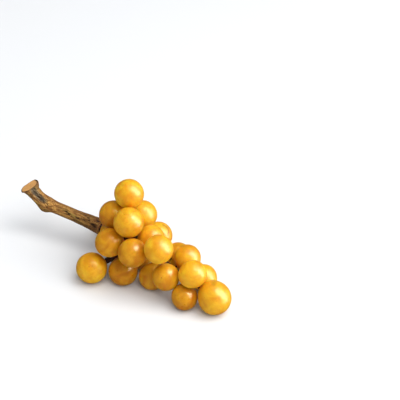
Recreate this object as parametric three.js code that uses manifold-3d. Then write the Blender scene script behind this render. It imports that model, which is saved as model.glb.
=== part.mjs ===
// A bunch of grapes cut and polished from yellow stone, lying on a table. Each grape is a ball with a
// blind hole, held on a taped wire; the wires gather in a bundle that is set in the drilled end of a
// cut vine twig. Millimetres, +Z up, the table at z = 0, +X from the twig towards the bunch's tip.
import * as THREE from "three";
import { mergeVertices } from "three/addons/utils/BufferGeometryUtils.js";
import Module from "manifold-3d";

const wasm = await Module();
wasm.setup();

// The bunch is laid out as a viewer sees it, so the viewer's place comes first.
const VIEW_AZIMUTH = THREE.MathUtils.degToRad(36); // the viewer looks along +Y turned this far to -X
const VIEW_ELEVATION = THREE.MathUtils.degToRad(38); // above the table
const VIEW_DISTANCE = 900; // from the viewer to the middle
const MIDDLE = new THREE.Vector3(25.9, -4.3, 28.7); // the middle of the pile of grapes, above the table

// Grapes
const GRAPE_SIDES = 16; // facets round a grape
const GRAPE_BANDS = 9; // facets from its wire hole to its far end
const FLAT_DEPTH = 0.5; // a grape that rests on the table is worn flat by this much
const SQUAT_MOST = 0.05; // a grape is shorter along its wire by up to this share
const AIR = 0.4; // the gap kept between pieces that all but touch
const FURTHEST = -70; // the nearness from which a grape that rests is brought nearer
const STEP_NEARER = 0.1; // a grape comes nearer the viewer in steps of this until it is clear
const BALLS_ALONG = 40; // balls that stand for the twig, and for the bundle, while pieces are placed

// Wires
const WIRE_RADIUS = 0.9; // a wire with its tape
const WIRE_SIDES = 6;
const WIRE_STEPS = 9;
const WIRE_IN_GRAPE = 5; // how far a wire goes into its grape
const HOLE_RADIUS = 1.45;
const HOLE_DEPTH = 6;
const BUNDLE_SIDES = 10;
const BUNDLE_STEPS = 26;
const WIRE_LEAD = 5; // a wire leaves the bundle this far before the place nearest its grape
const WIRE_CLEAR = 0.5; // the gap kept between a wire and the grapes it passes
const WAY_POINTS = 10; // points along a wire's way
const WAY_ROUNDS = 400; // how often they are drawn tight and pushed clear
const MOUTH_STANDOFF = 2.5; // a wire is straight from this far outside its grape

// Twig
const TWIG_SIDES = 18;
const TWIG_STEPS = 34;
const SOCKET_DEPTH = 11; // the drilled hole in the twig's inner end
// The torn groove between the sawn end and the knot, in shares of the twig's way and of its radius,
// with its turn from the viewer's side and its width in radians.
const GROOVE = { place: 0.16, length: 0.09, turn: 0.15, width: 0.34, depth: 0.26 };

// Seeded draws, so that every run makes the same bunch.
let seed = 20431;
function draw() {
  seed = (seed * 16807) % 2147483647;
  return seed / 2147483647;
}

const toRight = new THREE.Vector3(Math.cos(VIEW_AZIMUTH), Math.sin(VIEW_AZIMUTH), 0);
const toViewer = new THREE.Vector3(
  Math.sin(VIEW_AZIMUTH) * Math.cos(VIEW_ELEVATION),
  -Math.cos(VIEW_AZIMUTH) * Math.cos(VIEW_ELEVATION),
  Math.sin(VIEW_ELEVATION),
);
const toUp = toViewer.clone().cross(toRight);

// The point that the viewer sees so far to the right of the middle and above it, and so much nearer.
function seen(right, up, near) {
  const shrink = 1 - near / VIEW_DISTANCE;
  return MIDDLE.clone()
    .addScaledVector(toRight, right * shrink)
    .addScaledVector(toUp, up * shrink)
    .addScaledVector(toViewer, near);
}

// The twig's middle line from its sawn outer end to the bunch, with its width there.
const TWIG = [
  { right: -91.4, up: 48.9, near: -46.8, width: 14.8 },
  { right: -89.3, up: 46.2, near: -48.4, width: 11.8 },
  { right: -87, up: 43.4, near: -50, width: 10.7 },
  { right: -83.3, up: 39.5, near: -51.8, width: 10.4 },
  { right: -77.3, up: 34.8, near: -52.2, width: 12.2 }, // the knot where it bends
  { right: -72, up: 32.3, near: -50.2, width: 10.8 },
  { right: -68.2, up: 31, near: -48.5, width: 9.9 },
  { right: -60.5, up: 27.9, near: -45.6, width: 9.6 },
  { right: -54.5, up: 25.2, near: -43.7, width: 9.7 },
  { right: -45.8, up: 21.5, near: -40.9, width: 10.9 },
  { right: -41, up: 19.4, near: -39, width: 12.2 },
  { right: -37, up: 17.4, near: -37.5, width: 12.4 },
];

// The wire bundle's middle line from the twig to the tip of the bunch.
const BUNDLE = [
  { right: -37, up: 17.4, near: -37.5, width: 5.4 },
  { right: -28, up: 13.5, near: -38.2, width: 5.6 },
  { right: -19, up: 9.7, near: -33, width: 5.6 },
  { right: -12.5, up: 9.4, near: -23.8, width: 5.4 },
  { right: -8, up: 4.2, near: -13.4, width: 5.2 },
  { right: 1, up: -4.2, near: -3, width: 4.8 },
  { right: 9, up: -8.2, near: -1, width: 4.4 },
  { right: 17, up: -13.7, near: 1.3, width: 4 },
  { right: 25, up: -20, near: 6, width: 3.4 },
  { right: 33, up: -26, near: 9, width: 2.6 },
];

// The grapes, those further from the viewer first: where each is seen, how wide, and its nearness. One
// without a nearness rests on the table.
const GRAPES = [
  { right: -28.5, up: 20, across: 20.4 },
  { right: -6, up: 15, across: 22 },
  { right: -8, up: -5, across: 19 },
  { right: -44, up: -13.4, across: 24 },
  { right: -20.2, up: -15.5, across: 22.4 },
  { right: 2, up: -19.7, across: 21.2 },
  { right: 40.6, up: -20.9, across: 20.6 },
  { right: 26.2, up: -35.8, across: 20 },
  { right: 49, up: -36, across: 25.8 },
  { right: -14, up: 31, across: 21, near: -42 },
  { right: -28.4, up: 13.3, across: 19, near: -26 },
  { right: 6.5, up: 11, across: 21.2, near: -29 },
  { right: -27.4, up: 26.5, across: 22.6, near: -22 },
  { right: -5.6, up: 26.7, across: 22.4, near: -20 },
  { right: 21.2, up: -4.7, across: 21.2, near: -16 },
  { right: -30.5, up: 5.7, across: 22.4, near: -10 },
  { right: 1, up: 9, across: 20.8, near: -8 },
  { right: -15.8, up: 42.6, across: 22.9, near: -6 },
  { right: 28.3, up: -6, across: 20.8, near: 2 },
  { right: -16.2, up: 20.8, across: 23.4, near: 2 },
  { right: -13.1, up: -2.3, across: 22.6, near: 4 },
  { right: 12, up: -20.4, across: 21, near: 8 },
  { right: 6.5, up: 0.5, across: 22.7, near: 14 },
  { right: 32.5, up: -18.2, across: 21.6, near: 16 },
];

const curveOf = (line) =>
  new THREE.CatmullRomCurve3(
    line.map((p) => seen(p.right, p.up, p.near)),
    false,
    "centripetal",
  );

const bundleCurve = curveOf(BUNDLE);
const twigCurve = curveOf(TWIG);

// The middle of the twig's drilled end, and the way out of it.
const socketMouth = twigCurve.getPoint(1);
const socketOut = twigCurve.getTangent(1);

// A line's width at a share t of its way.
function widthAt(line, t) {
  const place = t * (line.length - 1);
  const i = Math.min(Math.floor(place), line.length - 2);
  return THREE.MathUtils.lerp(line[i].width, line[i + 1].width, place - i);
}

// Balls along a line, which grapes and wires keep clear of.
function ballsAlong(curve, line) {
  const balls = [];
  for (let i = 0; i <= BALLS_ALONG; i++) {
    const t = i / BALLS_ALONG;
    balls.push({ centre: curve.getPoint(t), radius: widthAt(line, t) / 2 });
  }
  return balls;
}

// Puts each grape where it is seen, as far from the viewer as stated or as the pieces behind it allow.
function placeGrapes(kept) {
  const placed = [];
  for (const grape of GRAPES) {
    const rests = grape.near === undefined;
    let near = rests ? FURTHEST : grape.near;
    let ball;
    const blocked = () =>
      ball.centre.z < ball.radius - (rests ? FLAT_DEPTH : 0) ||
      [...placed, ...kept].some(
        (k) => k.centre.distanceTo(ball.centre) < k.radius + ball.radius + AIR,
      );
    do {
      ball = {
        centre: seen(grape.right, grape.up, near),
        radius: (grape.across / 2) * (1 - near / VIEW_DISTANCE),
        rests,
      };
      near += STEP_NEARER;
    } while (blocked());
    if (rests) ball.centre.z = ball.radius - FLAT_DEPTH;
    placed.push(ball);
  }
  return placed;
}

// A cylinder bent along a curve, with a radius for each share of the way and angle round it.
function limb(curve, radiusAt, sides, steps) {
  const shape = new THREE.CylinderGeometry(1, 1, 1, sides, steps);
  const frames = curve.computeFrenetFrames(steps, false);
  const at = shape.getAttribute("position");
  const point = new THREE.Vector3();
  for (let i = 0; i < at.count; i++) {
    point.fromBufferAttribute(at, i);
    const t = 0.5 - point.y;
    const ring = Math.round(t * steps);
    const off = Math.hypot(point.x, point.z);
    const angle = Math.atan2(point.z, point.x);
    const reach = off * radiusAt(t, angle);
    const centre = curve.getPoint(t);
    centre.addScaledVector(frames.normals[ring], Math.cos(angle) * reach);
    centre.addScaledVector(frames.binormals[ring], Math.sin(angle) * reach);
    at.setXYZ(i, centre.x, centre.y, centre.z);
  }
  return shape;
}

// A geometry as a solid that can be joined and cut, and back.
function solid(shape) {
  const bare = shape.clone();
  for (const name of Object.keys(bare.attributes)) if (name !== "position") bare.deleteAttribute(name);
  const merged = mergeVertices(bare, 1e-4);
  const triVerts = new Uint32Array(merged.index.array);
  const vertProperties = merged.attributes.position.array;
  const made = new wasm.Manifold(new wasm.Mesh({ numProp: 3, vertProperties, triVerts }));
  if (made.volume() > 0) return made;
  triVerts.reverse();
  return new wasm.Manifold(new wasm.Mesh({ numProp: 3, vertProperties, triVerts }));
}

function geometry(made) {
  const mesh = made.getMesh();
  const shape = new THREE.BufferGeometry();
  shape.setAttribute("position", new THREE.BufferAttribute(new Float32Array(mesh.vertProperties), 3));
  shape.setIndex(new THREE.BufferAttribute(new Uint32Array(mesh.triVerts), 1));
  shape.computeVertexNormals();
  return shape;
}

// The way of one wire: from the bundle, clear of the other grapes, to a place on its own grape. It
// starts as a straight line, which is then drawn tight and pushed clear over and over.
function wireWay(own, grapes, wood) {
  const length = bundleCurve.getLength();
  const distance = (t) => bundleCurve.getPointAt(t).distanceTo(own.centre);
  let nearest = 0;
  for (let i = 1; i <= BALLS_ALONG; i++) {
    const t = i / BALLS_ALONG;
    if (distance(t) < distance(nearest)) nearest = t;
  }
  const root = bundleCurve.getPointAt(Math.max(WIRE_LEAD, nearest * length - WIRE_LEAD) / length);
  const points = [];
  for (let i = 0; i <= WAY_POINTS; i++) points.push(root.clone().lerp(own.centre, i / WAY_POINTS));
  const others = [...grapes.filter((g) => g !== own), ...wood];
  for (let round = 0; round < WAY_ROUNDS; round++) {
    for (let i = 1; i <= WAY_POINTS; i++) {
      const last = i === WAY_POINTS;
      const p = points[i];
      if (last) p.lerp(points[i - 1], 0.2);
      else p.lerp(points[i - 1].clone().add(points[i + 1]).multiplyScalar(0.5), 0.5);
      for (const ball of others) pushOut(p, ball.centre, ball.radius + WIRE_RADIUS + WIRE_CLEAR);
      p.z = Math.max(p.z, WIRE_RADIUS + WIRE_CLEAR);
      const mouth = own.radius + MOUTH_STANDOFF;
      if (last) p.sub(own.centre).setLength(mouth).add(own.centre);
      else pushOut(p, own.centre, mouth);
    }
  }
  const axis = points[WAY_POINTS].clone().sub(own.centre).normalize();
  const inGrape = (reach) => own.centre.clone().addScaledVector(axis, reach);
  const ends = [inGrape(own.radius), inGrape(own.radius - WIRE_IN_GRAPE)];
  const line = [...points.slice(0, WAY_POINTS), ...ends];
  return { axis, curve: new THREE.CatmullRomCurve3(line, false, "centripetal") };
}

// Moves a point straight out of a ball, if it is in it.
function pushOut(point, centre, radius) {
  if (point.distanceTo(centre) < radius) point.sub(centre).setLength(radius).add(centre);
}

// One grape: a ball turned round its wire's axis, with the hole that the wire sits in.
function grapeShape(ball, axis) {
  const { radius } = ball;
  const start = Math.asin(HOLE_RADIUS / radius);
  const outline = [
    new THREE.Vector2(0, HOLE_DEPTH - radius),
    new THREE.Vector2(HOLE_RADIUS, HOLE_DEPTH - radius),
  ];
  for (let i = 0; i < GRAPE_BANDS; i++) {
    const turn = start + ((Math.PI - start) * i) / GRAPE_BANDS;
    outline.push(new THREE.Vector2(Math.sin(turn) * radius, -Math.cos(turn) * radius));
  }
  outline.push(new THREE.Vector2(0, radius));
  const shape = new THREE.LatheGeometry(outline, GRAPE_SIDES);
  shape.scale(1, 1 - SQUAT_MOST * draw(), 1);
  const hole = new THREE.Vector3(0, -1, 0);
  shape.applyQuaternion(new THREE.Quaternion().setFromUnitVectors(hole, axis));
  shape.translate(ball.centre.x, ball.centre.y, ball.centre.z);
  return shape;
}

// Where round the twig the viewer's side is, at the sawn end.
function viewerSide(curve) {
  const frames = curve.computeFrenetFrames(TWIG_STEPS, false);
  return Math.atan2(toViewer.dot(frames.binormals[0]), toViewer.dot(frames.normals[0]));
}
const grooveAngle = viewerSide(twigCurve) + GROOVE.turn;

// The twig's radius: its width, lengthwise ridges and the torn groove.
function twigRadius(t, angle) {
  const half = widthAt(TWIG, t) / 2;
  const ridges = 0.035 * Math.sin(3 * angle + 5 * t) + 0.03 * Math.sin(5 * angle - 9 * t + 1);
  const along = (t - GROOVE.place) / GROOVE.length;
  const turn = angle - grooveAngle;
  const round = Math.atan2(Math.sin(turn), Math.cos(turn)) / GROOVE.width;
  return half * (1 + ridges - GROOVE.depth * Math.exp(-(along ** 2) - round ** 2));
}

function buildTwig() {
  const wood = solid(limb(twigCurve, twigRadius, TWIG_SIDES, TWIG_STEPS));
  const across = BUNDLE[0].width / 2 + AIR;
  const socket = new THREE.CylinderGeometry(across, across, 2 * SOCKET_DEPTH, 12);
  const upright = new THREE.Vector3(0, 1, 0);
  socket.applyQuaternion(new THREE.Quaternion().setFromUnitVectors(upright, socketOut));
  socket.translate(socketMouth.x, socketMouth.y, socketMouth.z);
  return geometry(wood.subtract(solid(socket)));
}

// The bundle with its straight root in the twig, and every wire joined to it.
function buildWires(ways) {
  const root = (into) => socketMouth.clone().addScaledVector(socketOut, -into);
  const deepest = SOCKET_DEPTH - 2 * AIR;
  const outside = bundleCurve.getSpacedPoints(18).slice(2);
  const line = [root(deepest), root(deepest / 2), root(0), root(-AIR), ...outside];
  const curve = new THREE.CatmullRomCurve3(line, false, "centripetal");
  const rootShare = deepest / (deepest + bundleCurve.getLength());
  const halfWidth = (t) => widthAt(BUNDLE, Math.max(0, (t - rootShare) / (1 - rootShare))) / 2;
  let made = solid(limb(curve, halfWidth, BUNDLE_SIDES, BUNDLE_STEPS));
  for (const way of ways)
    made = made.add(solid(limb(way.curve, () => WIRE_RADIUS, WIRE_SIDES, WIRE_STEPS)));
  return geometry(made);
}

const stone = new THREE.MeshStandardMaterial({ color: 0xe9a62c, roughness: 0.3, metalness: 0 });
const bark = new THREE.MeshStandardMaterial({ color: 0x8a6238, roughness: 0.85, metalness: 0 });
const tape = new THREE.MeshStandardMaterial({ color: 0x3a1c10, roughness: 0.8, metalness: 0 });

const bunch = new THREE.Group();
function addPiece(name, shape, material) {
  const mesh = new THREE.Mesh(shape, material);
  mesh.name = name;
  bunch.add(mesh);
}

const woodBalls = ballsAlong(twigCurve, TWIG);
const bundleBalls = ballsAlong(bundleCurve, BUNDLE);
const grapes = placeGrapes([...woodBalls, ...bundleBalls]);
const ways = grapes.map((ball) => wireWay(ball, grapes, woodBalls));

const table = new THREE.BoxGeometry(400, 400, 20);
table.translate(0, 0, -10);
grapes.forEach((ball, i) => {
  let shape = grapeShape(ball, ways[i].axis);
  if (ball.rests) shape = geometry(solid(shape).subtract(solid(table)));
  addPiece(`grape_${String(i + 1).padStart(2, "0")}`, shape, stone);
});
addPiece("vine_twig", buildTwig(), bark);
addPiece("taped_wires", buildWires(ways), tape);

// The origin is on the table, under the middle of the whole bunch.
const box = new THREE.Box3().setFromObject(bunch);
const centre = box.getCenter(new THREE.Vector3());
bunch.position.set(-centre.x, -centre.y, -box.min.z);

export default bunch;
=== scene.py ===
import math
import random

import bpy
from mathutils import Matrix, Vector, kdtree, noise


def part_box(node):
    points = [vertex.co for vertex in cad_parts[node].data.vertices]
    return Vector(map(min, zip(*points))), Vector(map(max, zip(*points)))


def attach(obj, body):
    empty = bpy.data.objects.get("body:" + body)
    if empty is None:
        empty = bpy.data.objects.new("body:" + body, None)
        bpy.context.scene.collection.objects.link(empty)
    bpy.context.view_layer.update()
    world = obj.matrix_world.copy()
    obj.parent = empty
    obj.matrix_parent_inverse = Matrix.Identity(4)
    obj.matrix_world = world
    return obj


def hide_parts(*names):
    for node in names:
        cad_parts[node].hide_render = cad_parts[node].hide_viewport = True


# A bunch of polished yellow stone grapes on taped wires, set in the drilled end of a vine twig.
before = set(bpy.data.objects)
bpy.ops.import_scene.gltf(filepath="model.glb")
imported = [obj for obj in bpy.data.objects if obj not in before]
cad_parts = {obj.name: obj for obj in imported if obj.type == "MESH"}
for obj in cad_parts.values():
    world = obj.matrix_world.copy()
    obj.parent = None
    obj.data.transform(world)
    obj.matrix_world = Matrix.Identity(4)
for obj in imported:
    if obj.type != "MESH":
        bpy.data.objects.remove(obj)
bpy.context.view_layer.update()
mm = 0.001

# Where the photograph was taken from. The pile's middle shows at middlePixel of a square image.
viewer = {
    "azimuth": 36,
    "elevation": 38,
    "distance": 900 * mm,
    "middle": Vector((25.9, -4.3, 28.7)) * mm,
    "middlePixel": (150, 250),
    "imagePixels": 400,
    "pixelsPerMetre": 1320,
    "sensorWidth": 36,
    "clip": (0.01, 50),
}
turn = math.radians(viewer["azimuth"])
lift = math.radians(viewer["elevation"])
toRight = Vector((math.cos(turn), math.sin(turn), 0))
toViewer = Vector((math.sin(turn) * math.cos(lift), -math.cos(turn) * math.cos(lift), math.sin(lift)))
toUp = toViewer.cross(toRight)


# The place seen so many mm to the right of the pile's middle and above it, and so much nearer
def seen(right, up, near):
    shrink = 1 - near * mm / viewer["distance"]
    return viewer["middle"] + ((toRight * right + toUp * up) * shrink + toViewer * near) * mm


def makeCamera():
    focal = viewer["distance"] * viewer["pixelsPerMetre"]
    half = viewer["imagePixels"] / 2
    # the image's middle, in pixels to the right of the pile's middle and above it
    across = half - viewer["middlePixel"][0]
    upwards = viewer["middlePixel"][1] - half
    ahead = (toRight * across + toUp * upwards - toViewer * focal).normalized()
    side = (toRight - ahead * toRight.dot(ahead)).normalized()
    above = side.cross(ahead)
    data = bpy.data.cameras.new("camera")
    data.sensor_width = viewer["sensorWidth"]
    data.lens = viewer["sensorWidth"] * focal / viewer["imagePixels"]
    data.clip_start, data.clip_end = viewer["clip"]
    camera = bpy.data.objects.new("camera", data)
    bpy.context.collection.objects.link(camera)
    camera.rotation_mode = "QUATERNION"
    rows = [[side[i], above[i], -ahead[i]] for i in range(3)]
    camera.rotation_quaternion = Matrix(rows).to_quaternion()
    camera.location = viewer["middle"] + toViewer * viewer["distance"]
    bpy.context.scene.camera = camera


makeCamera()
print("camera made")

# Small helpers for meshes and for materials


def addMesh(name, points, faces, materials):
    mesh = bpy.data.meshes.new(name)
    mesh.from_pydata(points, [], faces)
    mesh.update()
    for material in materials:
        mesh.materials.append(material)
    mesh.shade_smooth()
    piece = bpy.data.objects.new(name, mesh)
    bpy.context.collection.objects.link(piece)
    return piece


# Quads between rings of points, closed round each ring; a ring is given by its first point's number
def rowFaces(rows, sides):
    faces = []
    for a, b in zip(rows, rows[1:]):
        for i in range(sides):
            k = (i + 1) % sides
            faces.append((a + i, a + k, b + k, b + i))
    return faces


def ringFaces(rings, sides):
    return rowFaces([j * sides for j in range(rings)], sides)


# The same from a rim that is already there inwards over new rings, and a last small cap
def capFaces(rim, start, count, sides):
    rows = [rim] + [start + k * sides for k in range(count)]
    return rowFaces(rows, sides) + [tuple(rows[-1] + i for i in range(sides))]


# Which way a line of places runs at its place j
def aheadAt(places, j):
    return (places[min(j + 1, len(places) - 1)] - places[max(j - 1, 0)]).normalized()


# How far along the line each of its places lies
def runsOf(places):
    runs = [0]
    for a, b in zip(places, places[1:]):
        runs.append(runs[-1] + (b - a).length)
    return runs


def setPointValues(piece, name, kind, field, values):
    layer = piece.data.attributes.new(name, kind, "POINT")
    layer.data.foreach_set(field, values)


# A noise's usual low and high
noiseRange = (0.3, 0.7)


# A material's nodes, added and joined by short calls
class Nodes:
    def __init__(self, name):
        self.material = bpy.data.materials.new(name)
        self.material.use_nodes = True
        self.tree = self.material.node_tree
        self.shader = self.tree.nodes["Principled BSDF"]

    def add(self, kind, **settings):
        node = self.tree.nodes.new("ShaderNode" + kind)
        for key, value in settings.items():
            setattr(node, key, value)
        return node

    def join(self, source, target):
        self.tree.links.new(source, target)

    def setShader(self, **values):
        for key, value in values.items():
            self.shader.inputs[key.replace("_", " ")].default_value = value

    def noise(self, place, scale, detail=3, roughness=0.5, distortion=0):
        node = self.add("TexNoise")
        node.inputs["Scale"].default_value = scale
        node.inputs["Detail"].default_value = detail
        node.inputs["Roughness"].default_value = roughness
        node.inputs["Distortion"].default_value = distortion
        self.join(place, node.inputs["Vector"])
        return node.outputs["Fac"]

    # How far it is to the nearest of some scattered spots
    def spots(self, place, scale):
        node = self.add("TexVoronoi")
        node.inputs["Scale"].default_value = scale
        self.join(place, node.inputs["Vector"])
        return node.outputs["Distance"]

    # Stretches the values from low..high over 0..1
    def stretch(self, value, low, high, first=0.0, last=1.0):
        node = self.add("MapRange")
        for key, number in zip(("From Min", "From Max", "To Min", "To Max"), (low, high, first, last)):
            node.inputs[key].default_value = number
        self.join(value, node.inputs["Value"])
        return node.outputs["Result"]

    def maths(self, operation, a, b):
        node = self.add("Math", operation=operation)
        for socket, value in zip(node.inputs, (a, b)):
            if isinstance(value, (int, float)):
                socket.default_value = value
            else:
                self.join(value, socket)
        return node.outputs[0]

    # Between two colours; a colour mix has them on its sockets 6 and 7, and its result on output 2
    def mix(self, share, a, b):
        node = self.add("Mix", data_type="RGBA")
        self.join(share, node.inputs["Factor"])
        for socket, value in zip((node.inputs[6], node.inputs[7]), (a, b)):
            if isinstance(value, tuple):
                socket.default_value = (*value, 1)
            else:
                self.join(value, socket)
        return node.outputs[2]

    # A fine relief, for a shader's normal or for the next relief's
    def bump(self, height, strength, distance):
        node = self.add("Bump")
        node.inputs["Strength"].default_value = strength
        node.inputs["Distance"].default_value = distance
        self.join(height, node.inputs["Height"])
        return node


# The grapes' stone: honey yellow, cloudy, slightly translucent and polished
stone = {
    "clear": (0.745, 0.325, 0.0015),
    "cloudy": (0.87, 0.53, 0.016),
    "amber": (0.46, 0.155, 0.001),
    "amberCloudy": (0.66, 0.315, 0.01),
    "deep": (0.5, 0.15, 0.003),
    "pit": (0.26, 0.06, 0.01),
    # a noise is its scale, detail, roughness and distortion; an edge is where it begins and ends to show
    "cloud": (105, 4, 0.55, 0.8),
    "cloudEdge": (0.36, 0.68),
    "vein": (70, 5, 0.6, 1.6),
    "veinWidth": 0.02,
    "veinShade": 0.3,
    "pitScale": 420,
    "pitEdge": (0.05, 0.12),
    "pitRarity": (140, 1),
    "pitRarityEdge": (0.56, 0.6),
    "pitShade": 0.6,
    "haze": (315, 4, 0.6),
    # least and most roughness; below, the coat of the brightest and of the most amber stone
    "roughness": (0.38, 0.5),
    # the amber grapes are smoother by this
    "amberGloss": 0.12,
    "coat": (0.15, 0.2),
    # a relief is its strength and height
    "grain": (1260, 3, 0.6),
    "grainShare": 0.05,
    "grainRelief": (0.5, 0.12 * mm),
    "wave": (260, 2, 0.5),
    "waveRelief": (1, 0.3 * mm),
    # how far red, green and blue light goes into the stone, times the scale
    "translucence": 0.7,
    "reach": (1.0, 0.36, 0.05),
    "reachScale": 5.5 * mm,
    "refraction": 1.52,
    "specular": 0.9,
    "sheen": (1.0, 0.9, 0.6),
    "coatRoughness": 0.14,
}


def makeStone():
    n = Nodes("polishedYellowStone")
    place = n.add("TexCoord").outputs["Object"]
    howAmber = n.add("Attribute", attribute_type="OBJECT", attribute_name="amber").outputs["Fac"]
    cloud = n.stretch(n.noise(place, *stone["cloud"]), *stone["cloudEdge"])
    bright = n.mix(cloud, stone["clear"], stone["cloudy"])
    amber = n.mix(cloud, stone["amber"], stone["amberCloudy"])
    colour = n.mix(howAmber, bright, amber)
    # veins run where the noise crosses its middle
    vein = n.maths("SUBTRACT", n.noise(place, *stone["vein"]), 0.5)
    vein = n.stretch(n.maths("ABSOLUTE", vein, 0), 0.0, stone["veinWidth"], stone["veinShade"], 0.0)
    colour = n.mix(vein, colour, stone["deep"])
    pit = n.stretch(n.spots(place, stone["pitScale"]), *stone["pitEdge"], 1, 0)
    rare = n.stretch(n.noise(place, *stone["pitRarity"]), *stone["pitRarityEdge"])
    pit = n.maths("MULTIPLY", pit, rare)
    mark = n.add("Attribute", attribute_name="mark").outputs["Fac"]
    shade = n.maths("MAXIMUM", n.maths("MULTIPLY", pit, stone["pitShade"]), mark)
    n.join(n.mix(shade, colour, stone["pit"]), n.shader.inputs["Base Color"])
    rough = n.stretch(n.noise(place, *stone["haze"]), *noiseRange, *stone["roughness"])
    rough = n.maths("SUBTRACT", rough, n.maths("MULTIPLY", howAmber, stone["amberGloss"]))
    n.join(rough, n.shader.inputs["Roughness"])
    n.join(n.stretch(howAmber, 0, 1, *stone["coat"]), n.shader.inputs["Coat Weight"])
    grain = n.maths("MULTIPLY", n.noise(place, *stone["grain"]), stone["grainShare"])
    grainBump = n.bump(n.maths("SUBTRACT", grain, pit), *stone["grainRelief"])
    waveBump = n.bump(n.noise(place, *stone["wave"]), *stone["waveRelief"])
    n.join(grainBump.outputs[0], waveBump.inputs["Normal"])
    n.join(waveBump.outputs[0], n.shader.inputs["Normal"])
    n.join(waveBump.outputs[0], n.shader.inputs["Coat Normal"])
    n.setShader(
        Subsurface_Weight=stone["translucence"],
        Subsurface_Radius=stone["reach"],
        Subsurface_Scale=stone["reachScale"],
        IOR=stone["refraction"],
        Specular_Tint=(*stone["sheen"], 1),
        Specular_IOR_Level=stone["specular"],
        Coat_Roughness=stone["coatRoughness"],
    )
    return n.material


# The grapes: hand-ground balls with a drilled hole for the wire
grape = {
    "sides": 84,
    "bands": 46,
    "holeRadius": 1.45 * mm,
    "holeDepth": 5.6 * mm,
    "chamfer": 0.35 * mm,
    # how far from round: share of the radius, and how many to the ball
    "lumps": (0.011, 1.4),
    "ripples": (0.003, 4.5),
    # how far apart the grapes' lumps may lie in the noise
    "offset": 40,
    "seed": 7,
    # corners of the solid nearer its centre than this share of the radius are the hole's
    "holeShare": 0.75,
    # the smallest rings, on the hole's floor and at the far pole, as shares of its and the ball's radius
    "floorShare": 0.02,
    "poleShare": 0.0001,
    # how amber each grape's stone is, from 0 to 1; the others' are drawn
    "amber": {
        "03": 0.8, "04": 0.2, "05": 0.95, "06": 0.75, "07": 0.1, "08": 1.0, "09": 0.3, "11": 0.8,
        "12": 0.25, "13": 0.9, "14": 0.05, "16": 0.85, "17": 0.15, "18": 0.1, "20": 0.25, "21": 0.8,
        "22": 0.6, "23": 0.15, "24": 0.1,
    },
    # dimples, cracks and pits in sight: right, up, radius, depth in mm and darkness
    "marks": {
        "09": [(-0.8, 10.6, 1.7, 0.7, 0.45)],
        "22": [(-3.4, -0.4, 0.45, 0.3, 0.9)],
        "04": [(-1.4, 1.2, 0.4, 0.2, 0.6), (1, 1.6, 0.4, 0.2, 0.6), (2.6, -0.6, 0.35, 0.2, 0.35)],
        "18": [(-4.6, 6.2, 0.9, 0.2, 0.25)],
    },
    # grapes that are longer one way, as seen: right, up and the growth in mm
    "stretch": {"08": (-0.55, 0.83, 1), "09": (-0.5, 0.87, 1.5), "24": (-0.87, -0.5, 0.9)},
    # how much that growth gathers at its side
    "growthPower": 1.5,
    # a curved crack: right and up of its points in mm
    "cracks": {"12": [(3.4, 8.2), (5.6, 7.2), (7.2, 5.4), (8.1, 2.8), (7.6, 0.2)]},
    # a crack's width and depth in mm, and darkness
    "crack": (0.5, 0.25, 0.7),
}


# Where a grape's ball is, how wide it is and which way its hole opens, from its solid
def grapePlace(node):
    low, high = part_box(node)
    radius = max(high.x - low.x, high.y - low.y, high.z - low.z) / 2
    centre = (low + high) / 2
    if low.z < grape["chamfer"]:
        centre.z = high.z - radius
    corners = [v.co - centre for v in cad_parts[node].data.vertices]
    hole = Vector()
    for corner in corners:
        if corner.length < radius * grape["holeShare"]:
            hole += corner
    return centre, radius, hole.normalized()


# How deep a marked place is, in metres, and how dark, at a point of a grape seen from its centre
def grapeMark(marks, cracks, point):
    if point.dot(toViewer) < 0:
        return 0, 0
    right, up = point.dot(toRight) / mm, point.dot(toUp) / mm
    deep, dark = 0, 0
    for x, y, size, depth, shade in marks:
        share = math.exp(-((right - x) ** 2 + (up - y) ** 2) / size ** 2)
        deep = max(deep, depth * share)
        dark = max(dark, shade * share)
    width, depth, shade = grape["crack"]
    for (x0, y0), (x1, y1) in zip(cracks, cracks[1:]):
        run = ((right - x0) * (x1 - x0) + (up - y0) * (y1 - y0)) / ((x1 - x0) ** 2 + (y1 - y0) ** 2)
        run = min(max(run, 0), 1)
        gap = math.hypot(right - x0 - run * (x1 - x0), up - y0 - run * (y1 - y0))
        share = math.exp(-(gap / width) ** 2)
        deep = max(deep, depth * share)
        dark = max(dark, shade * share)
    return deep * mm, dark


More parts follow.
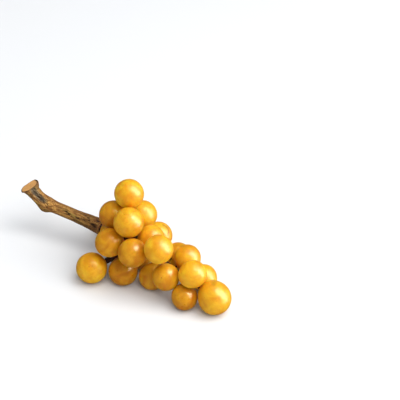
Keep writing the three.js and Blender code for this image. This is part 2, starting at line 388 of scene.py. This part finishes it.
def makeGrape(node, material, draw):
    centre, radius, axis = grapePlace(node)
    side = axis.orthogonal().normalized()
    other = axis.cross(side)
    offset = Vector([draw.uniform(-grape["offset"], grape["offset"]) for i in range(3)])
    first = math.asin((grape["holeRadius"] + grape["chamfer"]) / radius)
    floor = radius - grape["holeDepth"]
    mouth = math.cos(first) * radius
    number = node[-2:]
    marks = grape["marks"].get(number, [])
    cracks = grape["cracks"].get(number, [])
    # a marked grape has twice as fine a mesh
    fine = 2 if marks or cracks else 1
    sides = grape["sides"] * fine
    bands = grape["bands"] * fine
    right, up, growth = grape["stretch"].get(number, (1, 0, 0))
    longWay = toRight * right + toUp * up
    # each ring is how far it is from the hole's axis and how far up that axis
    rings = [(grape["holeRadius"] * grape["floorShare"], floor), (grape["holeRadius"], floor)]
    rings.append((grape["holeRadius"], mouth - grape["chamfer"]))
    rings.append((math.sin(first) * radius, mouth))
    for j in range(1, bands):
        polar = first + (math.pi - first) * j / bands
        rings.append((math.sin(polar) * radius, math.cos(polar) * radius))
    rings.append((grape["poleShare"] * radius, -radius))
    lumps, lumpScale = grape["lumps"]
    ripples, rippleScale = grape["ripples"]
    points, darks = [], []
    for across, height in rings:
        for i in range(sides):
            a = 2 * math.pi * i / sides
            point = (side * math.cos(a) + other * math.sin(a)) * across + axis * height
            way = point / radius
            lump = lumps * noise.noise(way * lumpScale + offset)
            lump += ripples * noise.noise(way * rippleScale + offset)
            deep, dark = grapeMark(marks, cracks, point) if fine > 1 else (0, 0)
            grown = growth * mm * max(0, way.dot(longWay)) ** grape["growthPower"]
            point = centre + point * (1 + lump - deep / radius) + longWay * grown
            point.z = max(point.z, 0)
            points.append(point)
            darks.append(dark)
    faces = ringFaces(len(rings), sides)
    faces.append(tuple(range(sides)))
    faces.append(tuple(range((len(rings) - 1) * sides, len(rings) * sides))[::-1])
    piece = addMesh(node + "_stone", points, faces, [material])
    setPointValues(piece, "mark", "FLOAT", "value", darks)
    # drawn for every grape, so that setting one leaves the others as they are
    drawn = draw.random()
    piece["amber"] = grape["amber"].get(number, drawn)
    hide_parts(node)
    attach(piece, "root")


def makeGrapes():
    material = makeStone()
    draw = random.Random(grape["seed"])
    for node in sorted(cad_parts):
        if node.startswith("grape"):
            makeGrape(node, material, draw)


makeGrapes()
print("grapes made")

# The twig's middle line from its sawn end to the bunch, as in the solids: right, up, near and width
twig = {
    "line": [
        (-91.4, 48.9, -46.8, 14.8),
        (-89.3, 46.2, -48.4, 11.8),
        (-87, 43.4, -50, 10.7),
        (-83.3, 39.5, -51.8, 10.4),
        (-77.3, 34.8, -52.2, 12.2),
        (-72, 32.3, -50.2, 10.8),
        (-68.2, 31, -48.5, 9.9),
        (-60.5, 27.9, -45.6, 9.6),
        (-54.5, 25.2, -43.7, 9.7),
        (-45.8, 21.5, -40.9, 10.9),
        (-41, 19.4, -39, 12.2),
        (-37, 17.4, -37.5, 12.4),
    ],
    "sides": 150,
    "rings": 420,
    "capRings": 14,
    "rimRings": 12,
    "rimWear": 1 * mm,
    "socketRadius": 3.1 * mm,
    "socketDepth": 11 * mm,
    # the torn groove: its place and length are shares of the way, its depth one of the twig's radius
    "groove": {"place": 0.19, "length": 0.178, "turn": -0.14, "width": 0.64, "depth": 0.36, "shade": 1.6},
    # the saw cut leans: metres along the twig at its middle and, more, at one turn; so many rings of
    # the bark shift with it
    "cut": {"middle": 0.6 * mm, "lean": 0.8 * mm, "turn": -0.3, "rings": 22},
    # the sawn face: its marks, how hollow it is in mm, and how many rings short of the middle it stops
    "sawMark": {"height": 0.06, "turn": 0.6, "count": 26, "rough": 0.05, "roughScale": 3, "roughStart": 5},
    "dish": 0.15,
    "pith": 0.3,
    # how dark the worn rim is, over how many rings, and how dark the face's edge and the inner end are
    "rimShade": 0.85,
    "rimShadeRings": 7,
    "edgeShade": 0.4,
    "innerShade": 0.6,
    # the inner end stands out by this round its hole; the rings on it and down the hole are shares
    "innerDome": 0.15 * mm,
    "innerShares": (0.25, 0.5, 0.75, 1),
    "holeShares": (0.04, 0.3, 0.6, 1),
    "floorShare": 0.02,
    # pits and knots: share of the way, turn from the viewer's side, radius in mm and depth in mm
    "pits": [
        (0.26, -0.1, 1.0, 0.9),
        (0.385, 0.0, 0.75, 0.5),
        (0.4, 0.45, 0.6, 0.4),
        (0.62, -0.05, 0.9, 0.7),
        (0.648, 0.2, 0.8, 0.7),
        (0.745, 0.3, 0.7, 0.6),
        (0.79, 0.1, 0.6, 0.5),
        (0.815, -0.45, 0.7, 0.6),
        (0.835, -0.15, 0.8, 0.6),
        (0.9, 0.2, 1.1, 0.7),
        (0.94, 0.4, 1.3, 0.9),
        (0.95, -0.5, 1.0, 0.7),
        (0.62, 2.6, 1.4, 0.9),
        (0.36, -2.4, 1.6, 0.9),
        (0.84, 1.9, 1.3, 0.8),
    ],
    # broad swellings: share of the way, turn, length along and round it in mm, and height in mm
    "swells": [
        (0.355, 1.8, 2.8, 4.5, 1.0),
        (0.44, 1.7, 4.5, 4, -0.8),
        (0.0, 3.1, 3, 6, -1.5),
        (0.0, 1.5, 3, 4, 0.9),
        (0.0, 2.3, 3, 2.5, 1.2),
        (0.0, -1.5, 3.5, 4, 0.1),
        (0.07, -1.5, 4, 4, 1.5),
        (0.0, -0.8, 3.5, 3.5, 1.1),
        (0.0, -2.2, 3, 2.8, 1.1),
        (0.12, -0.8, 7, 1.6, 0.6),
        (0.12, 0.5, 8, 1.6, 0.35),
    ],
    # long splits: from and to of the way, turns there, width and depth in mm
    "splits": [
        (0.42, 0.72, -0.95, -1.05, 0.45, 0.5),
        (0.68, 0.98, -0.7, -0.9, 0.4, 0.45),
        (0.5, 0.75, 0.35, 0.5, 0.4, 0.5),
        (0.72, 1.0, 0.15, 0.3, 0.55, 0.6),
        (0.62, 1.0, 0.95, 0.8, 0.45, 0.5),
        (0.1, 0.36, 0.75, 0.7, 0.35, 0.4),
        (0.36, 0.56, -0.2, 0.1, 0.35, 0.4),
        (0.2, 0.5, 2.8, 2.5, 0.5, 0.6),
        (0.5, 0.9, -2.4, -2.2, 0.5, 0.6),
        (0.05, 0.4, -1.9, -1.8, 0.4, 0.5),
    ],
    # the bark's noises: how fine round the twig, each one's length in mm and where the noise starts
    "ridge": (2.1, 14, 3),
    "fibre": (9, 7, 11),
    "fissure": (4.2, 11, 27),
    "fine": (17, 3, 0),
    "fissureWidth": 0.09,
    # heights and depth in mm, and how dark the painted shade is in the bark's fissures and between its
    # fibres
    "ridgeHeight": 0.45,
    "fibreHeight": 0.26,
    "fineHeight": 0.13,
    "fissureDepth": 0.42,
    "fissureShade": 0.75,
    "fibreShade": 0.5,
    # how a split sways with the ridges, how fast it opens from its ends and how dark its painted shade is;
    # its fibres leave it at least so open, usually so open, and change that by so much
    "splitSway": 0.15,
    "splitTaper": 6,
    "splitBridges": (0.2, 0.6, 2),
    "splitShade": 0.8,
    # how long a pit is for its width, how torn, and how many radii out it ends
    "pitLength": 1.7,
    "pitTear": 0.9,
    "pitReach": 2.5,
    # a pit's lip: how many radii out, height as a share of the depth, and sharpness
    "pitLip": (1.5, 0.3, 4),
}


# A smooth way through points, each with a width: place and width at a share t of the way
def along(line, t):
    last = len(line) - 1
    i = min(int(t * last), last - 1)
    f = t * last - i
    p = [line[max(i - 1, 0)], line[i], line[i + 1], line[min(i + 2, last)]]
    weights = (
        -0.5 * f + f * f - 0.5 * f ** 3,
        1 - 2.5 * f * f + 1.5 * f ** 3,
        0.5 * f + 2 * f * f - 1.5 * f ** 3,
        -0.5 * f * f + 0.5 * f ** 3,
    )
    mixed = [sum(w * q[k] for w, q in zip(weights, p)) for k in range(4)]
    return seen(*mixed[:3]), mixed[3] * mm


# The same turn, from minus half a turn to half a turn
def turned(angle):
    return math.atan2(math.sin(angle), math.cos(angle))


# One of the bark's noises, at a turn and so many mm along the twig
def barkNoise(name, angle, s):
    around, long, start = twig[name]
    return noise.noise(Vector((math.cos(angle) * around, math.sin(angle) * around, s / long + start)))


# How far the bark stands out or in, in metres, how much painted shade it gets in its hollows, and how torn
def barkRelief(t, angle, radius, length):
    s = t * length / mm
    ridge = barkNoise("ridge", angle, s)
    fibre = barkNoise("fibre", angle, s)
    fine = barkNoise("fine", angle, s)
    fissure = max(0, 1 - abs(barkNoise("fissure", angle, s)) / twig["fissureWidth"])
    relief = twig["ridgeHeight"] * ridge + twig["fibreHeight"] * fibre + twig["fineHeight"] * fine
    relief -= twig["fissureDepth"] * fissure
    # painted shade, darkest in the fissures and the dips between the fibres; the groove, splits and pits
    # add theirs below
    hollowShade = twig["fissureShade"] * fissure + twig["fibreShade"] * max(0, -fibre)

    # how far a place of the twig is from here, along and round it, in mm
    def gapTo(place, way):
        return (t - place) * length / mm, turned(angle - way) * radius / mm

    groove = twig["groove"]
    off = turned(angle - groove["turn"]) / groove["width"]
    run = (t - groove["place"]) / groove["length"]
    torn = math.exp(-run ** 4 - off ** 2)
    relief -= torn * groove["depth"] * radius / mm
    hollowShade = max(hollowShade * (1 - torn), torn * max(0, groove["shade"] * fibre))
    for place, way, long, wide, height in twig["swells"]:
        lengthwise, sideways = gapTo(place, way)
        gap = math.hypot(lengthwise / long, sideways / wide)
        relief += height * math.exp(-gap * gap)
    for first, last, way, lastWay, width, depth in twig["splits"]:
        share = (t - first) / (last - first)
        if 0 < share < 1:
            sway = way + (lastWay - way) * share + twig["splitSway"] * ridge
            gap = turned(angle - sway) * radius / mm / width
            least, usual, byFibre = twig["splitBridges"]
            bridged = max(least, min(1, usual + byFibre * fibre))
            openness = math.exp(-gap * gap) * min(1, twig["splitTaper"] * share * (1 - share)) * bridged
            relief -= depth * openness
            hollowShade = max(hollowShade, twig["splitShade"] * openness)
    lipPlace, lipHeight, lipSharpness = twig["pitLip"]
    for place, way, size, depth in twig["pits"]:
        lengthwise, sideways = gapTo(place, way)
        gap = math.hypot(lengthwise / twig["pitLength"], sideways) / size * (1 + twig["pitTear"] * fibre)
        if gap < twig["pitReach"]:
            pit = math.exp(-gap * gap)
            lip = lipHeight * math.exp(-((gap - lipPlace) ** 2) * lipSharpness)
            relief -= depth * (pit - lip)
            hollowShade = max(hollowShade, pit)
    return relief * mm, min(1, hollowShade), torn


# How far along the twig the leaning saw cut lies, at an angle and a share of the way out to the rim
def sawCut(angle, share):
    cut = twig["cut"]
    return cut["middle"] + cut["lean"] * share * math.cos(angle - cut["turn"])


def makeTwig(barkMaterial, sawnMaterial):
    rings, sides = twig["rings"], twig["sides"]
    middle = [along(twig["line"], j / (rings - 1)) for j in range(rings)]
    places = [place for place, width in middle]
    length = runsOf(places)[-1]
    frames = []
    for j in range(rings):
        ahead = aheadAt(places, j)
        facing = (toViewer - ahead * toViewer.dot(ahead)).normalized()
        frames.append((facing, ahead.cross(facing), ahead))
    points, straight, hollows, torns = [], [], [], []

    def addPoint(j, angle, reach, hollowShade, torn, shift=0.0):
        facing, side, ahead = frames[j]
        way = facing * math.cos(angle) + side * math.sin(angle)
        points.append(places[j] + way * reach + ahead * shift)
        s = j / (rings - 1) * length
        straight.extend((math.cos(angle) * reach, math.sin(angle) * reach, s + shift))
        hollows.append(hollowShade)
        torns.append(torn)

    angles = [2 * math.pi * i / sides for i in range(sides)]
    rims = {}
    for j in range(rings):
        radius = middle[j][1] / 2
        # the sawn rim is a little worn
        worn = max(0, 1 - j / twig["rimRings"]) ** 2 * twig["rimWear"]
        rimShade = twig["rimShade"] if j < twig["rimShadeRings"] else 0
        for a in angles:
            relief, hollowShade, torn = barkRelief(j / (rings - 1), a, radius, length)
            reach = radius + relief - worn
            if j in (0, rings - 1):
                rims[j, a] = reach
            shift = sawCut(a, 1) * max(0, 1 - j / twig["cut"]["rings"])
            addPoint(j, a, reach, max(hollowShade, rimShade), torn, shift)
    faces = ringFaces(rings, sides)
    barkFaces = len(faces)
    # the sawn face, with faint saw marks, from the rim to the pith
    capRings, saw = twig["capRings"], twig["sawMark"]
    start = len(points)
    for k in range(1, capRings + 1):
        share = 1 - k / (capRings + twig["pith"])
        for a in angles:
            mark = saw["height"] * math.sin(math.cos(a + saw["turn"]) * share * saw["count"])
            mark += saw["rough"] * noise.noise(Vector((k, a * saw["roughScale"], saw["roughStart"])))
            shift = (mark - twig["dish"] * (1 - share)) * mm + sawCut(a, share)
            addPoint(0, a, rims[0, a] * share, twig["edgeShade"] if k == 1 else 0, 0, shift)
    faces += [tuple(reversed(f)) for f in capFaces(0, start, capRings, sides)]
    # the inner end: flat round the drilled hole, then the hole's wall and floor
    start = len(points)
    last = rings - 1
    hole, deep = twig["socketRadius"], twig["socketDepth"]
    inner = []
    for share in twig["innerShares"]:
        dome = twig["innerDome"] * share
        inner.append([(rims[last, a] * (1 - share) + hole * share, dome) for a in angles])
    for share in twig["holeShares"]:
        inner.append([(hole, -deep * share)] * sides)
    inner.append([(hole * twig["floorShare"], -deep)] * sides)
    for ring in inner:
        for a, (reach, shift) in zip(angles, ring):
            addPoint(last, a, reach, twig["innerShade"], 0, shift)
    faces += capFaces(last * sides, start, len(inner), sides)
    piece = addMesh("twig_bark", points, faces, [barkMaterial, sawnMaterial])
    for polygon in piece.data.polygons:
        polygon.material_index = 1 if polygon.index >= barkFaces else 0
    setPointValues(piece, "straight", "FLOAT_VECTOR", "vector", straight)
    setPointValues(piece, "hollowShade", "FLOAT", "value", hollows)
    setPointValues(piece, "torn", "FLOAT", "value", torns)
    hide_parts("vine_twig")
    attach(piece, "root")


# The colours and grain of the bark and of the sawn wood
bark = {
    "pale": (0.76, 0.46, 0.125),
    "light": (0.6, 0.31, 0.075),
    "mid": (0.25, 0.1, 0.021),
    "dark": (0.035, 0.014, 0.006),
    "shaded": (0.125, 0.045, 0.009),
    "olive": (0.37, 0.26, 0.052),
    "grey": (0.3, 0.215, 0.115),
    "greyDark": (0.06, 0.042, 0.022),
    "sawn": (0.7, 0.36, 0.105),
    "sawnDark": (0.52, 0.23, 0.06),
    # the bark's spots are drawn out along the twig
    "squash": (1, 1, 0.3),
    # a noise is its scale, detail, roughness and distortion
    "streaks": (480, 5, 0.65, 0.4),
    "patches": (190, 3, 0.5, 0.6),
    "palePatches": (330, 4, 0.6, 0.8),
    "specks": (1100, 3, 0.7),
    "fine": (2600, 4, 0.6),
    "blots": (420, 4, 0.6),
    # where a colour begins and ends in its noise, then how much of it shows at both
    "lightFrom": (0.42, 0.57),
    "paleFrom": (0.56, 0.68, 0, 0.8),
    "oliveFrom": (0.54, 0.66, 0, 0.75),
    "speckFrom": (0.56, 0.66, 0, 0.85),
    "greyFrom": (0.44, 0.62),
    "tornFrom": (0.25, 0.7),
    "hollowFrom": (0.12, 0.85, 0, 0.93),
    # painted shade on the twig's lower and upper sides, by metres from the middle line, and on its end
    # near the bunch, by metres along it
    "under": (2.5 * mm, 5.2 * mm, 0, 0.6),
    "over": (-2.6 * mm, -5 * mm, 0, 0.62),
    "inner": (34 * mm, 60 * mm, 0, 0.6),
    "roughness": (0.72, 0.95),
    "specular": 0.3,
    "relief": (0.6, 0.25 * mm),
    # the sawn face's year rings: scale, distortion, detail and its scale, and how much they show
    "yearRings": (260, 2.5, 3, 1.4),
    "yearShare": 0.35,
    "blotShare": 0.65,
    "sawnFrom": (0.2, 0.95),
    "sawnHollow": (0.2, 1),
    "sawnRoughness": 0.8,
    "sawnRelief": (0.35, 0.2 * mm),
}


def makeBark():
    n = Nodes("vineBark")
    # places on the twig as if it were straight: x to the viewer's side, y under it, z along it
    place = n.add("Attribute", attribute_name="straight").outputs["Vector"]
    split = n.add("SeparateXYZ")
    n.join(place, split.inputs[0])
    squash = n.add("Mapping")
    squash.inputs["Scale"].default_value = bark["squash"]
    n.join(place, squash.inputs["Vector"])
    grain = squash.outputs[0]
    streaks = n.noise(grain, *bark["streaks"])
    patches = n.noise(grain, *bark["patches"])
    palePatches = n.noise(grain, *bark["palePatches"])
    specks = n.noise(place, *bark["specks"])
    colour = n.mix(n.stretch(streaks, *bark["lightFrom"]), bark["mid"], bark["light"])
    colour = n.mix(n.stretch(palePatches, *bark["paleFrom"]), colour, bark["pale"])
    colour = n.mix(n.stretch(patches, *bark["oliveFrom"]), colour, bark["olive"])
    colour = n.mix(n.stretch(specks, *bark["speckFrom"]), colour, bark["dark"])
    # painted shade: darker on the twig's lower and upper sides and towards its end near the bunch
    colour = n.mix(n.stretch(split.outputs["Y"], *bark["under"]), colour, bark["shaded"])
    colour = n.mix(n.stretch(split.outputs["Y"], *bark["over"]), colour, bark["shaded"])
    colour = n.mix(n.stretch(split.outputs["Z"], *bark["inner"]), colour, bark["shaded"])
    torn = n.add("Attribute", attribute_name="torn").outputs["Fac"]
    grey = n.mix(n.stretch(streaks, *bark["greyFrom"]), bark["greyDark"], bark["grey"])
    colour = n.mix(n.stretch(torn, *bark["tornFrom"]), colour, grey)
    # painted shade in the bark's hollows: its fissures, splits, pits, groove and the dips between its
    # fibres
    hollowShade = n.add("Attribute", attribute_name="hollowShade").outputs["Fac"]
    colour = n.mix(n.stretch(hollowShade, *bark["hollowFrom"]), colour, bark["dark"])
    n.join(colour, n.shader.inputs["Base Color"])
    n.join(n.stretch(streaks, *noiseRange, *bark["roughness"]), n.shader.inputs["Roughness"])
    n.setShader(Specular_IOR_Level=bark["specular"])
    relief = n.bump(n.noise(grain, *bark["fine"]), *bark["relief"])
    n.join(relief.outputs[0], n.shader.inputs["Normal"])
    return n.material


def makeSawn():
    n = Nodes("sawnVine")
    place = n.add("Attribute", attribute_name="straight").outputs["Vector"]
    flat = n.add("Mapping")
    flat.inputs["Scale"].default_value = (1, 1, 0)
    n.join(place, flat.inputs["Vector"])
    rings = n.add("TexWave", wave_type="RINGS", rings_direction="Z")
    for key, number in zip(("Scale", "Distortion", "Detail", "Detail Scale"), bark["yearRings"]):
        rings.inputs[key].default_value = number
    n.join(flat.outputs[0], rings.inputs["Vector"])
    years = n.maths("MULTIPLY", rings.outputs["Fac"], bark["yearShare"])
    blots = n.noise(flat.outputs[0], *bark["blots"])
    share = n.maths("ADD", years, n.stretch(blots, *noiseRange, 0, bark["blotShare"]))
    colour = n.mix(n.stretch(share, *bark["sawnFrom"]), bark["sawn"], bark["sawnDark"])
    hollowShade = n.add("Attribute", attribute_name="hollowShade").outputs["Fac"]
    colour = n.mix(n.stretch(hollowShade, *bark["sawnHollow"]), colour, bark["dark"])
    n.join(colour, n.shader.inputs["Base Color"])
    n.setShader(Roughness=bark["sawnRoughness"])
    n.join(n.bump(share, *bark["sawnRelief"]).outputs[0], n.shader.inputs["Normal"])
    return n.material


makeTwig(makeBark(), makeSawn())
print("twig made")

# The wires and their bundle, wound with dark crepe tape
tape = {
    "colour": (0.045, 0.014, 0.008),
    "worn": (0.13, 0.05, 0.025),
    # a noise is its scale, detail and roughness
    "wear": (900, 4, 0.7),
    "wornFrom": (0.45, 0.75),
    "fine": (2200, 3, 0.6),
    "fineRelief": (0.6, 0.2 * mm),
    "roughness": 0.75,
    # the solids are remade in small cubes and smoothed, so that the wires grow out of the bundle
    "voxel": 0.27 * mm,
    "smoothing": (4, 0.5),
    # the crepe's height and how fine it is, and the laps and how far one stands out
    "crepe": 0.1 * mm,
    "crepeScale": 1400,
    "lapsPerMetre": 400,
    "lap": 0.3 * mm,
    # how uneven the laps are, and how far out of the bundle a wire's own laps begin
    "lapSway": 1 * mm,
    "swayScale": 300,
    "wireFrom": 0.7 * mm,
    # the bundle's middle line as in the solids: right, up, near and width
    "bundle": [
        (-37, 17.4, -37.5, 5.4),
        (-28, 13.5, -38.2, 5.6),
        (-19, 9.7, -33, 5.6),
        (-12.5, 9.4, -23.8, 5.4),
        (-8, 4.2, -13.4, 5.2),
        (1, -4.2, -3, 4.8),
        (9, -8.2, -1, 4.4),
        (17, -13.7, 1.3, 4),
        (25, -20, 6, 3.4),
        (33, -26, 9, 2.6),
    ],
    "bundleSteps": 400,
}


def makeTape():
    n = Nodes("crepeTape")
    place = n.add("TexCoord").outputs["Object"]
    worn = n.stretch(n.noise(place, *tape["wear"]), *tape["wornFrom"])
    n.join(n.mix(worn, tape["colour"], tape["worn"]), n.shader.inputs["Base Color"])
    n.setShader(Roughness=tape["roughness"])
    relief = n.bump(n.noise(place, *tape["fine"]), *tape["fineRelief"])
    n.join(relief.outputs[0], n.shader.inputs["Normal"])
    return n.material


# The tape's laps at a place, -0.5 to 0.5: wound round the bundle, and across the wires that leave it
def makeLaps():
    steps = tape["bundleSteps"]
    middle = [along(tape["bundle"], j / steps) for j in range(steps + 1)]
    places = [place for place, width in middle]
    runs = runsOf(places)
    tree = kdtree.KDTree(steps + 1)
    for j, place in enumerate(places):
        tree.insert(place, j)
    tree.balance()

    def lapAt(place):
        nearest, j, gap = tree.find(place)
        run = runs[j] + tape["lapSway"] * noise.noise(place * tape["swayScale"])
        if gap > middle[j][1] / 2 + tape["wireFrom"]:
            return (run + gap) * tape["lapsPerMetre"] % 1 - 0.5
        ahead = aheadAt(places, j)
        side = ahead.cross(toViewer).normalized()
        off = place - nearest
        angle = math.atan2(off.dot(side.cross(ahead)), off.dot(side))
        return (run * tape["lapsPerMetre"] + angle / (2 * math.pi)) % 1 - 0.5

    return lapAt


def makeWires(material):
    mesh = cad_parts["taped_wires"].data.copy()
    mesh.name = "wire_tape"
    piece = bpy.data.objects.new("wire_tape", mesh)
    bpy.context.collection.objects.link(piece)
    remesh = piece.modifiers.new("remesh", "REMESH")
    remesh.mode = "VOXEL"
    remesh.voxel_size = tape["voxel"]
    smooth = piece.modifiers.new("smooth", "SMOOTH")
    smooth.iterations, smooth.factor = tape["smoothing"]
    graph = bpy.context.evaluated_depsgraph_get()
    made = bpy.data.meshes.new_from_object(piece.evaluated_get(graph))
    piece.modifiers.clear()
    piece.data = made
    normals = [v.normal.copy() for v in made.vertices]
    lapAt = makeLaps()
    for vertex, normal in zip(made.vertices, normals):
        crepe = tape["crepe"] * noise.noise(vertex.co * tape["crepeScale"])
        vertex.co += normal * (crepe + tape["lap"] * lapAt(vertex.co))
    made.shade_smooth()
    made.materials.clear()
    made.materials.append(material)
    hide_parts("taped_wires")
    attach(piece, "root")


tapeMaterial = makeTape()
makeWires(tapeMaterial)
print("wires made")

# The low grapes' wires, twisted together on their way to the bundle: right, up and near in mm
strands = {
    "line": [(-36.5, -9.8, -13), (-29, -7, -14.5), (-22, -3.5, -15), (-15, 1, -14.5), (-8, 4, -13.4)],
    "count": 3,
    "radius": 0.85 * mm,
    "twist": 1.05 * mm,
    "turnsPerMetre": 75,
    "lapsPerMetre": 420,
    # a lap's height and the unevenness as shares of the radius, and how fine that is
    "lap": 0.13,
    "rough": 0.06,
    "roughScale": 900,
    "rings": 160,
    "sides": 18,
    # the strands draw together over so many rings before the bundle
    "gatherRings": 30,
}


# A taped strand's skin round a way given as places, each lap of tape standing a little out
def tapedTube(name, places, material):
    rings, sides = len(places), strands["sides"]
    points = []
    for j, (place, run) in enumerate(zip(places, runsOf(places))):
        ahead = aheadAt(places, j)
        side = ahead.cross(toViewer).normalized()
        other = side.cross(ahead)
        rough = strands["rough"] * noise.noise(place * strands["roughScale"])
        for i in range(sides):
            a = 2 * math.pi * i / sides
            lap = (run * strands["lapsPerMetre"] + a / (2 * math.pi)) % 1 - 0.5
            reach = strands["radius"] * (1 + strands["lap"] * lap + rough)
            points.append(place + (side * math.cos(a) + other * math.sin(a)) * reach)
    faces = ringFaces(rings, sides)
    faces.append(tuple(range(sides))[::-1])
    faces.append(tuple(range((rings - 1) * sides, rings * sides)))
    piece = addMesh(name, points, faces, [material])
    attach(piece, "root")


def makeStrands(material):
    rings = strands["rings"]
    line = [(*p, 1) for p in strands["line"]]
    middle = [along(line, j / (rings - 1))[0] for j in range(rings)]
    runs = runsOf(middle)
    for k in range(strands["count"]):
        places = []
        for j, place in enumerate(middle):
            ahead = aheadAt(middle, j)
            side = ahead.cross(toViewer).normalized()
            a = 2 * math.pi * (runs[j] * strands["turnsPerMetre"] + k / strands["count"])
            spread = strands["twist"] * min(1, (rings - 1 - j) / strands["gatherRings"])
            places.append(place + (side * math.cos(a) + side.cross(ahead) * math.sin(a)) * spread)
        tapedTube("low_strand_%d" % (k + 1), places, material)


makeStrands(tapeMaterial)
print("strands made")

# The pale table and the studio's light
studio = {
    "table": (0.75, 0.75, 0.75),
    "tableSize": 8,
    "tableRoughness": 0.9,
    "tableSpecular": 0.1,
    "sky": (0.92, 0.98, 1.06),
    "skyStrength": 0.47,
    "skyShine": 0.05,
    # each light: its way as right, up and near, distance, width and height in metres, power and colour;
    # windowShine only shows mirrored in the stone, and the ceiling only lights
    "window": ((0.84, 0.25, 0.48), 1.5, 0.9, 3.2, 15.5, (1, 0.98, 0.95)),
    "windowShine": ((0.84, 0.3, 0.44), 1.5, 1, 3.2, 74, (1, 0.98, 0.95)),
    "ceiling": ((0.4, 0.48, 0.78), 2.4, 3, 3, 81, (1, 1, 1)),
}


def makeLight(name, lit=True, mirrored=True):
    (right, up, near), distance, width, height, power, colour = studio[name]
    way = (toRight * right + toUp * up + toViewer * near).normalized()
    data = bpy.data.lights.new(name, "AREA")
    data.shape = "RECTANGLE"
    data.size, data.size_y = width, height
    data.energy = power
    data.color = colour
    light = bpy.data.objects.new(name, data)
    light.location = viewer["middle"] + way * distance
    light.rotation_mode = "QUATERNION"
    light.rotation_quaternion = (-way).to_track_quat("-Z", "Y")
    light.visible_diffuse = lit
    light.visible_glossy = mirrored
    bpy.context.collection.objects.link(light)


def makeStudio():
    n = Nodes("paleTable")
    n.setShader(
        Base_Color=(*studio["table"], 1),
        Roughness=studio["tableRoughness"],
        Specular_IOR_Level=studio["tableSpecular"],
    )
    half = studio["tableSize"] / 2
    corners = [(-half, -half, 0), (half, -half, 0), (half, half, 0), (-half, half, 0)]
    table = addMesh("table", corners, [(0, 1, 2, 3)], [n.material])
    table.visible_glossy = False
    world = bpy.data.worlds.new("sky")
    world.use_nodes = True
    sky = world.node_tree.nodes["Background"]
    sky.inputs["Color"].default_value = (*studio["sky"], 1)
    # the polished stone mirrors only a dim sky, so that the window light stands out in it
    path = world.node_tree.nodes.new("ShaderNodeLightPath")
    strength = world.node_tree.nodes.new("ShaderNodeMapRange")
    strength.inputs["To Min"].default_value = studio["skyStrength"]
    strength.inputs["To Max"].default_value = studio["skyShine"]
    world.node_tree.links.new(path.outputs["Is Glossy Ray"], strength.inputs["Value"])
    world.node_tree.links.new(strength.outputs["Result"], sky.inputs["Strength"])
    bpy.context.scene.world = world
    makeLight("window")
    makeLight("windowShine", lit=False)
    makeLight("ceiling", mirrored=False)
    bpy.context.scene.view_settings.view_transform = "Standard"


makeStudio()
print("studio made")
